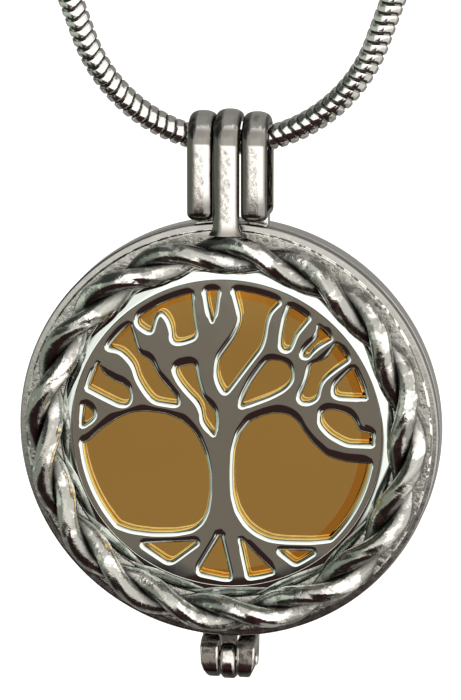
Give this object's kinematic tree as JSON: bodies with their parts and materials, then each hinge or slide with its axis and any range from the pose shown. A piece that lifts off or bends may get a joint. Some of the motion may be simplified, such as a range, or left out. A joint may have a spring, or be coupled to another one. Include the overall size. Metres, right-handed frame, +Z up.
{
  "type": "keepsake urn pendant",
  "caption": "Round hinged locket with a pierced tree window in a twisted rope border over a gold ash capsule, hanging by a strap bail on a round snake chain.",
  "frame": {"origin": "underside of the barrel clasp at the top of the loop, where the necklace hangs", "axes": "+Z up, front of the pendant facing -Y, +X to the right seen from the front"},
  "size_m": [0.118, 0.0077, 0.2405],
  "materials": {
    "cast_steel": "polished casting with dark crevices",
    "polished_steel": "polished",
    "gold_plate": "gold plated, mirror polished",
    "chain_steel": "polished links"
  },
  "bodies": {
    "chain": {"snake_chain": "chain_steel", "barrel_clasp": "polished_steel"},
    "back": {"back_cover": "polished_steel", "hinge_pin": "polished_steel", "capsule_lid": "gold_plate", "capsule_cup": "gold_plate"},
    "front": {"front_cover": "cast_steel"}
  },
  "joints": [
    {"name": "pendant_swing", "type": "hinge", "parent": "chain", "child": "back", "pos_m": [0, 0, -0.19754], "axis": [1, 0, 0], "range_deg": [-90, 90]},
    {"name": "cover_hinge", "type": "hinge", "parent": "back", "child": "front", "pos_m": [0, 0, -0.23504], "axis": [1, 0, 0], "range_deg": [0, 150]}
  ]
}
